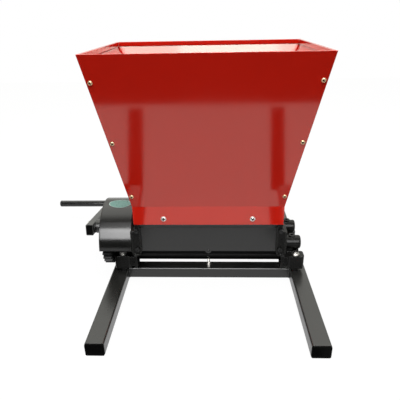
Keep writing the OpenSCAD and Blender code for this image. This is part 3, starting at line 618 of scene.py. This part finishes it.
def turned_out(tree, entry):
    """Rotation that stands a fastener on its point's facing, spun by chance about itself."""
    facing = tree.nodes.new("GeometryNodeInputNamedAttribute")
    facing.data_type = "FLOAT_VECTOR"
    facing.inputs["Name"].default_value = "facing"
    align = tree.nodes.new("FunctionNodeAlignRotationToVector")
    align.axis = "Z"
    spin = tree.nodes.new("FunctionNodeAxisAngleToRotation")
    both = tree.nodes.new("FunctionNodeRotateRotation")
    both.rotation_space = "LOCAL"
    tree.links.new(facing.outputs["Attribute"], align.inputs["Vector"])
    tree.links.new(random_value(tree, entry, 0.0, 2.0 * math.pi), spin.inputs["Angle"])
    tree.links.new(align.outputs["Rotation"], both.inputs["Rotation"])
    tree.links.new(spin.outputs["Rotation"], both.inputs["Rotate By"])
    return both.outputs["Rotation"]


hex_tree, entry = geometry_tree("hex_bolt", foot_bolt)
corner_radius = entry.outputs["Corner Radius"]
head_height = entry.outputs["Head Height"]
prism = taper(hex_tree, hex_sides, corner_radius, corner_radius, head_height)
chamfer_base = scaled(hex_tree, corner_radius, chamfer_bottom)
chamfer_tip = scaled(hex_tree, corner_radius, chamfer_top)
chamfer_cone = taper(hex_tree, chamfer_sides, chamfer_base, chamfer_tip, head_height)
chamfered = hex_tree.nodes.new("GeometryNodeMeshBoolean")
chamfered.operation = "INTERSECT"
chamfered.solver = "MANIFOLD"
hex_tree.links.new(prism, in_use(chamfered.inputs, "Mesh"))
hex_tree.links.new(chamfer_cone, in_use(chamfered.inputs, "Mesh"))
head = stacked(hex_tree, chamfered.outputs["Mesh"], entry.outputs["Flange Height"])
bolt = hex_tree.nodes.new("GeometryNodeJoinGeometry")
hex_tree.links.new(head, bolt.inputs[0])
hex_tree.links.new(flange_disc(hex_tree, entry, washer_sides, washer_bevel), bolt.inputs[0])
hex_tree.links.new(shank_below(hex_tree, entry, bolt_sides), bolt.inputs[0])
scatter(hex_tree, entry, bolt.outputs[0], rotation=turned_out(hex_tree, entry))

foot_places = [(i * foot_x, j * foot_y, foot_top) for i in (-1, 1) for j in (-1, 1)]
foot_facings = [(0.0, 0.0, 1.0)] * len(foot_places)
foot_hexes = on_points(
    "foot_bolt_heads", hex_tree, foot_places, foot_bolt, zinc, seed=11, facings=foot_facings
)
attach(foot_hexes, "base")
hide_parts("foot_bolts", "foot_washers")
dress(zinc, "foot_nuts")

# Centre stud: a length of M6 threaded rod, zinc plated, that stands in the front rail between
# two nuts.
stud_y = -0.044
stud_bottom = 0.0222
stud_top = 0.0500
stud_r = 0.0030
thread_pitch = 0.001
thread_depth = 0.0006
stud_sides = 28
rings_per_pitch = 6
# The same zinc plate as the foot bolts, made paler: a lighter copy that paints the highlight on the
# stud and the skirt bolts.
zinc_with_painted_highlight = finish(
    "zinc_with_painted_highlight",
    dark=(0.74, 0.72, 0.68),
    light=(0.88, 0.86, 0.82),
    rough=(0.34, 0.46),
    peel=1500.0,
    radius=0.0004,
    blotch=120.0,
    bump=0.05,
    metal=1.0,
)


def threaded_rod(name, x, y, bottom, top):
    """Rod along Z whose radius follows a helix, closed by flat chamfered ends."""
    shape = bmesh.new()
    count = round((top - bottom) / thread_pitch * rings_per_pitch)
    rings = []
    for i in range(count + 1):
        z = bottom + (top - bottom) * i / count
        ends = min(z - bottom, top - z)
        ring = []
        for j in range(stud_sides):
            phase = ((z - bottom) / thread_pitch - j / stud_sides) % 1.0
            r = min(stud_r - thread_depth * abs(2.0 * phase - 1.0), stud_r - thread_depth + ends)
            turn = 2.0 * math.pi * j / stud_sides
            point = (x + machine_x + r * math.cos(turn), y + r * math.sin(turn), z)
            ring.append(shape.verts.new(point))
        rings.append(ring)
    for lower, upper in zip(rings, rings[1:]):
        for j in range(stud_sides):
            k = (j + 1) % stud_sides
            shape.faces.new((lower[j], lower[k], upper[k], upper[j]))
    shape.faces.new(rings[-1])
    shape.faces.new(list(reversed(rings[0])))
    mesh = bpy.data.meshes.new(name)
    shape.to_mesh(mesh)
    shape.free()
    piece = bpy.data.objects.new(name, mesh)
    scene.collection.objects.link(piece)
    return piece


stud = threaded_rod("threaded_stud", 0.0, stud_y, stud_bottom, stud_top)
stud.data.materials.append(zinc_with_painted_highlight)
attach(stud, "base")
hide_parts("centre_stud")
dress(zinc_with_painted_highlight, "centre_stud_nuts")

# Bearing bushes: plain turned bronze, pressed into the bosses from the inside and oiled
# through the cups on top.
bronze = finish(
    "bush_bronze",
    dark=(0.34, 0.19, 0.06),
    light=(0.46, 0.28, 0.10),
    rough=(0.28, 0.40),
    peel=900.0,
    radius=0.0004,
    blotch=60.0,
    bump=0.05,
    metal=1.0,
)
dress(bronze, "bearing_bushes")

# Rollers: fluted black nylon on steel shafts, held by cross pins. The mould's dull skin is
# left on the ribs.
roller_nylon = finish(
    "roller_nylon",
    dark=(0.002, 0.002, 0.002),
    light=(0.004, 0.004, 0.004),
    rough=(0.45, 0.60),
    peel=800.0,
    radius=0.0010,
    blotch=25.0,
    bump=0.20,
    mirror=0.06,
)
dress(roller_nylon, "rear_roller", "front_roller")

# Shafts, keys, pins, spacers, the retaining ring and the handle's spindle: turned steel with
# a film of oil.
turned_steel = finish(
    "turned_steel",
    dark=(0.36, 0.37, 0.38),
    light=(0.52, 0.53, 0.54),
    rough=(0.22, 0.34),
    peel=1200.0,
    radius=0.0004,
    blotch=70.0,
    bump=0.05,
    metal=1.0,
)
dress(turned_steel, "drive_shaft", "drive_key", "drive_spacers", "rear_roller_pins")
dress(turned_steel, "driven_shaft", "driven_key", "driven_spacer", "driven_ring", "front_roller_pins")
dress(turned_steel, "grip_spindle")

# Gears: cast iron with cut teeth, dark with oil, keyed to the shafts outside the left side
# frame.
gear_iron = finish(
    "gear_iron",
    dark=(0.004, 0.004, 0.004),
    light=(0.010, 0.010, 0.010),
    rough=(0.38, 0.52),
    peel=700.0,
    radius=0.0006,
    blotch=60.0,
    bump=0.20,
    mirror=0.25,
)
dress(gear_iron, "drive_gear", "driven_gear")

# Body panels: black painted sheet, joggled at the top to lie behind the hopper's skirt, and
# bolted between the posts.
panel_paint = finish(
    "panel_paint",
    dark=(0.008, 0.008, 0.008),
    light=(0.013, 0.013, 0.012),
    rough=(0.18, 0.26),
    peel=500.0,
    radius=0.0008,
    blotch=12.0,
    bump=0.12,
)
dress(panel_paint, "front_panel", "rear_panel")

# Post bolts, panel rivets, cover screws and the hub's set screw: black oxide steel, dull
# where the oxide is thick and a little brighter where it is thin. The same dark finish is
# also painted shade inside the cross recesses of the corner screws and the skirt bolts.
oxide_and_recess_shade = finish(
    "black_oxide_and_recess_shade",
    dark=(0.012, 0.012, 0.012),
    light=(0.030, 0.030, 0.030),
    rough=(0.30, 0.45),
    peel=1500.0,
    radius=0.0005,
    blotch=90.0,
    bump=0.05,
    metal=0.6,
)
dress(oxide_and_recess_shade, "post_bolts", "panel_rivets", "cover_screws", "crank_set_screw")

# Hopper: four folded sheets in gloss red powder coat, with a turned-in hem round the rim and
# flanges on the side panels that are screwed to the front and the back.
hopper_red = finish(
    "hopper_red",
    dark=(0.54, 0.0094, 0.0028),
    light=(0.585, 0.0110, 0.0035),
    rough=(0.07, 0.11),
    peel=420.0,
    radius=0.0008,
    blotch=5.0,
    bump=0.05,
    # Lighter red on the edges: partly wear, partly a painted highlight.
    worn_and_lit_edge=(0.61, 0.014, 0.007),
    ior=1.66,
    # The warm tint of the gloss is a painted reflection of the red light the hopper throws on the
    # floor.
    tint=(1.0, 0.97, 0.86),
)
dress(hopper_red, "hopper_front", "hopper_rear", "hopper_left", "hopper_right")

# Corner screws: twelve pan-head screws with a cross recess painted dark as shade, yellow
# passivated, each with a nut inside the hopper.
throat_x = 0.176
throat_y = 0.0952
fold_z = 0.221
lean = math.radians(13.055)
slant = 0.35107
edge_slope = 0.16948
screw_inset = 0.008
screw_shares = (0.083, 0.476, 0.848)
dome_segments = 28
dome_rings = 16
flange_sides = 36
flange_bevel = 0.96
screw_sides = 16
cut_span = 4.0
pan_screw = {
    "Head Radius": 0.00475,
    "Head Height": 0.00215,
    "Recess Length": 0.0060,
    "Recess Width": 0.0019,
    "Recess Depth": 0.0018,
    "Flange Radius": 0.00475,
    "Flange Height": 0.0006,
    "Shank Radius": 0.0025,
    "Shank Length": 0.0074,
}
yellow_zinc = finish(
    "yellow_zinc",
    dark=(0.54, 0.36, 0.19),
    light=(0.78, 0.58, 0.38),
    rough=(0.36, 0.50),
    peel=1500.0,
    radius=0.0004,
    blotch=150.0,
    bump=0.05,
    metal=1.0,
)


def vector_of(tree, x, y, z):
    """A vector made of three sockets."""
    vector = tree.nodes.new("ShaderNodeCombineXYZ")
    tree.links.new(x, vector.inputs["X"])
    tree.links.new(y, vector.inputs["Y"])
    tree.links.new(z, vector.inputs["Z"])
    return vector.outputs[0]


pan_tree, entry = geometry_tree("pan_screw", pan_screw)
# The recess's material paints shade into the cross recess.
pan_tree.interface.new_socket("Painted Recess Shade", in_out="INPUT", socket_type="NodeSocketMaterial")
head_radius = entry.outputs["Head Radius"]
head_height = entry.outputs["Head Height"]
ball = pan_tree.nodes.new("GeometryNodeMeshUVSphere")
ball.inputs["Segments"].default_value = dome_segments
ball.inputs["Rings"].default_value = dome_rings
ball.inputs["Radius"].default_value = 1.0
dome = pan_tree.nodes.new("GeometryNodeTransform")
pan_tree.links.new(ball.outputs["Mesh"], dome.inputs["Geometry"])
pan_tree.links.new(vector_of(pan_tree, head_radius, head_radius, head_height), dome.inputs["Scale"])
cut_width = scaled(pan_tree, head_radius, cut_span)
cut_height = scaled(pan_tree, head_height, cut_span)
below = pan_tree.nodes.new("GeometryNodeMeshCube")
pan_tree.links.new(vector_of(pan_tree, cut_width, cut_width, cut_height), below.inputs["Size"])
lower_half = stacked(pan_tree, below.outputs["Mesh"], scaled(pan_tree, head_height, -0.5 * cut_span))
pan = pan_tree.nodes.new("GeometryNodeMeshBoolean")
pan.operation = "DIFFERENCE"
pan.solver = "EXACT"
pan_tree.links.new(dome.outputs["Geometry"], in_use(pan.inputs, "Mesh 1"))
pan_tree.links.new(lower_half, in_use(pan.inputs, "Mesh 2"))
recess_height = scaled(pan_tree, entry.outputs["Recess Depth"], 2.0)
for along, across in (("Recess Length", "Recess Width"), ("Recess Width", "Recess Length")):
    slot_size = vector_of(pan_tree, entry.outputs[along], entry.outputs[across], recess_height)
    slot = pan_tree.nodes.new("GeometryNodeMeshCube")
    # The recess's faces take the dark material: painted shade in the hollow.
    recess_shade = pan_tree.nodes.new("GeometryNodeSetMaterial")
    pan_tree.links.new(slot_size, slot.inputs["Size"])
    pan_tree.links.new(slot.outputs["Mesh"], recess_shade.inputs["Geometry"])
    pan_tree.links.new(entry.outputs["Painted Recess Shade"], recess_shade.inputs["Material"])
    cutter = stacked(pan_tree, recess_shade.outputs["Geometry"], head_height)
    pan_tree.links.new(cutter, in_use(pan.inputs, "Mesh 2"))
head = stacked(pan_tree, pan.outputs["Mesh"], entry.outputs["Flange Height"])
screw = pan_tree.nodes.new("GeometryNodeJoinGeometry")
pan_tree.links.new(head, screw.inputs[0])
pan_tree.links.new(flange_disc(pan_tree, entry, flange_sides, flange_bevel), screw.inputs[0])
pan_tree.links.new(shank_below(pan_tree, entry, screw_sides), screw.inputs[0])
upright = turned_out(pan_tree, entry)
scatter(pan_tree, entry, screw.outputs[0], rotation=upright, keep=entry.outputs["Painted Recess Shade"])

screw_places = []
screw_facings = []
for end in (-1, 1):
    for side in (-1, 1):
        for part in screw_shares:
            up = part * slant
            x = side * (throat_x + edge_slope * up - screw_inset)
            y = end * (throat_y + up * math.sin(lean))
            screw_places.append((x, y, fold_z + up * math.cos(lean)))
            screw_facings.append((0.0, end * math.cos(lean), -math.sin(lean)))
pan_sizes = {**pan_screw, "Painted Recess Shade": oxide_and_recess_shade}
pan_screws = on_points(
    "pan_screws", pan_tree, screw_places, pan_sizes, yellow_zinc, seed=7, facings=screw_facings
)
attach(pan_screws, "base")
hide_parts("corner_screws")
dress(yellow_zinc, "corner_nuts")

# Skirt bolts: two flanged bolts with a cross recess on each long side, in the paler zinc that
# paints their highlight, which hold the hopper to the panels' upper strips. Their recess is
# painted dark as shade.
skirt_bolt_x = 0.104
skirt_bolt_z = 0.18967
skirt_bolt = {
    "Head Radius": 0.0056,
    "Head Height": 0.0027,
    "Recess Length": 0.0086,
    "Recess Width": 0.0026,
    "Recess Depth": 0.0024,
    "Flange Radius": 0.00645,
    "Flange Height": 0.0012,
    "Shank Radius": 0.0030,
    "Shank Length": 0.0090,
    "Painted Recess Shade": oxide_and_recess_shade,
}
skirt_places = []
skirt_facings = []
for side in (-1, 1):
    for end in (-1, 1):
        skirt_places.append((side * skirt_bolt_x, end * throat_y, skirt_bolt_z))
        skirt_facings.append((0.0, float(end), 0.0))
skirt_heads = on_points(
    "skirt_bolt_heads", pan_tree, skirt_places, skirt_bolt, zinc_with_painted_highlight, seed=13, facings=skirt_facings
)
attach(skirt_heads, "base")
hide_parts("skirt_bolts")
dress(zinc, "skirt_nuts")

# Gear cover: a half drum of black painted sheet with a bulged end plate, screwed to the left
# side frame.
cover_paint = finish(
    "cover_paint",
    dark=(0.003, 0.003, 0.0028),
    light=(0.006, 0.006, 0.0055),
    rough=(0.15, 0.20),
    peel=500.0,
    radius=0.0015,
    blotch=12.0,
    bump=0.08,
    # Lighter edges: partly wear, partly a painted highlight.
    worn_and_lit_edge=(0.012, 0.012, 0.011),
)
dress(cover_paint, "gear_cover_band", "gear_cover_plate")

# Cover label: a plain oval of teal film with a pale rim, stuck round the top of the drum. It
# carries no print.
cover_r = 0.1001
cover_z = 0.093
label_x = -0.2225
label_turn = math.radians(82.0)
label_half = (0.0288, 0.0180)
label_top = 0.00025
label_back = 0.00002
rim_share = 0.93
label_steps = 72
label_rings = (0.2, 0.4, 0.6, 0.8, rim_share, 1.0)
teal = finish(
    "label_teal",
    dark=(0.050, 0.165, 0.140),
    light=(0.085, 0.225, 0.190),
    rough=(0.24, 0.36),
    peel=900.0,
    radius=0.0002,
    blotch=140.0,
    bump=0.04,
)
pale = finish(
    "label_rim",
    dark=(0.22, 0.33, 0.30),
    light=(0.30, 0.41, 0.38),
    rough=(0.24, 0.36),
    peel=900.0,
    radius=0.0002,
    blotch=140.0,
    bump=0.04,
)


def on_drum(x, arc, lift):
    """A place on the drum: along it, and round it from the label's middle."""
    turn = label_turn + arc / cover_r
    r = cover_r + lift
    return Vector((x + machine_x, -r * math.cos(turn), cover_z + r * math.sin(turn)))


def oval_side(shape, lift, outward):
    """One side of the film, in rings round its middle. Gives back the outermost ring."""
    loops = []
    for ring_share in label_rings:
        loop = []
        for i in range(label_steps):
            turn = 2.0 * math.pi * i / label_steps
            x = label_x + label_half[0] * ring_share * math.cos(turn)
            arc = label_half[1] * ring_share * math.sin(turn)
            loop.append(shape.verts.new(on_drum(x, arc, lift)))
        loops.append(loop)
    middle = shape.verts.new(on_drum(label_x, 0.0, lift))
    for i in range(label_steps):
        k = (i + 1) % label_steps
        corners = [(middle, loops[0][i], loops[0][k])]
        for inner, outer in zip(loops, loops[1:]):
            corners.append((inner[i], outer[i], outer[k], inner[k]))
        for ring_share, points in zip(label_rings, corners):
            face = shape.faces.new(points if outward else points[::-1])
            face.material_index = 1 if ring_share > rim_share else 0
            face.smooth = True
    return loops[-1]


shape = bmesh.new()
upper = oval_side(shape, label_top, outward=True)
lower = oval_side(shape, label_back, outward=False)
for i in range(label_steps):
    k = (i + 1) % label_steps
    edge_face = shape.faces.new((lower[i], lower[k], upper[k], upper[i]))
    edge_face.material_index = 1
label_mesh = bpy.data.meshes.new("cover_label")
shape.to_mesh(label_mesh)
shape.free()
label_mesh.materials.append(teal)
label_mesh.materials.append(pale)
label = bpy.data.objects.new("cover_label", label_mesh)
scene.collection.objects.link(label)
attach(label, "base")

# Crank: an arm of rectangular tube welded across a turned hub, in the base's black coat. A
# zinc plated screw with a washer holds the hub on the end of the drive shaft.
hub_face = -0.309
hub_r = 0.019
axle_y = 0.042
axle_z = 0.098
arm_drop = math.radians(9.0)
weld_reach = math.radians(34.0)
hub_ripples = 10
hub_welds = []
for middle in (0.0, math.pi):
    for i in range(hub_ripples + 1):
        turn = middle + weld_reach * (2.0 * i / hub_ripples - 1.0) - arm_drop
        reach = hub_r + bead_stand
        y = axle_y + reach * math.cos(turn)
        z = axle_z + reach * math.sin(turn)
        hub_welds.append((hub_face + bead_stand, y, z))
crank_welds = on_points("crank_welds", weld_tree, hub_welds, weld_sizes, black_coat, seed=5)
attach(crank_welds, "drive")
dress(black_coat, "crank_arm", "crank_hub")
dress(zinc, "crank_screw", "crank_washer")

# Grip and its end button: a polished black plastic sleeve that turns on the spindle, with
# a button pressed on the spindle's end.
grip_plastic = finish(
    "grip_plastic",
    dark=(0.005, 0.005, 0.005),
    light=(0.010, 0.010, 0.010),
    rough=(0.14, 0.22),
    peel=900.0,
    radius=0.0012,
    blotch=30.0,
    bump=0.03,
)
dress(grip_plastic, "grip", "grip_button")
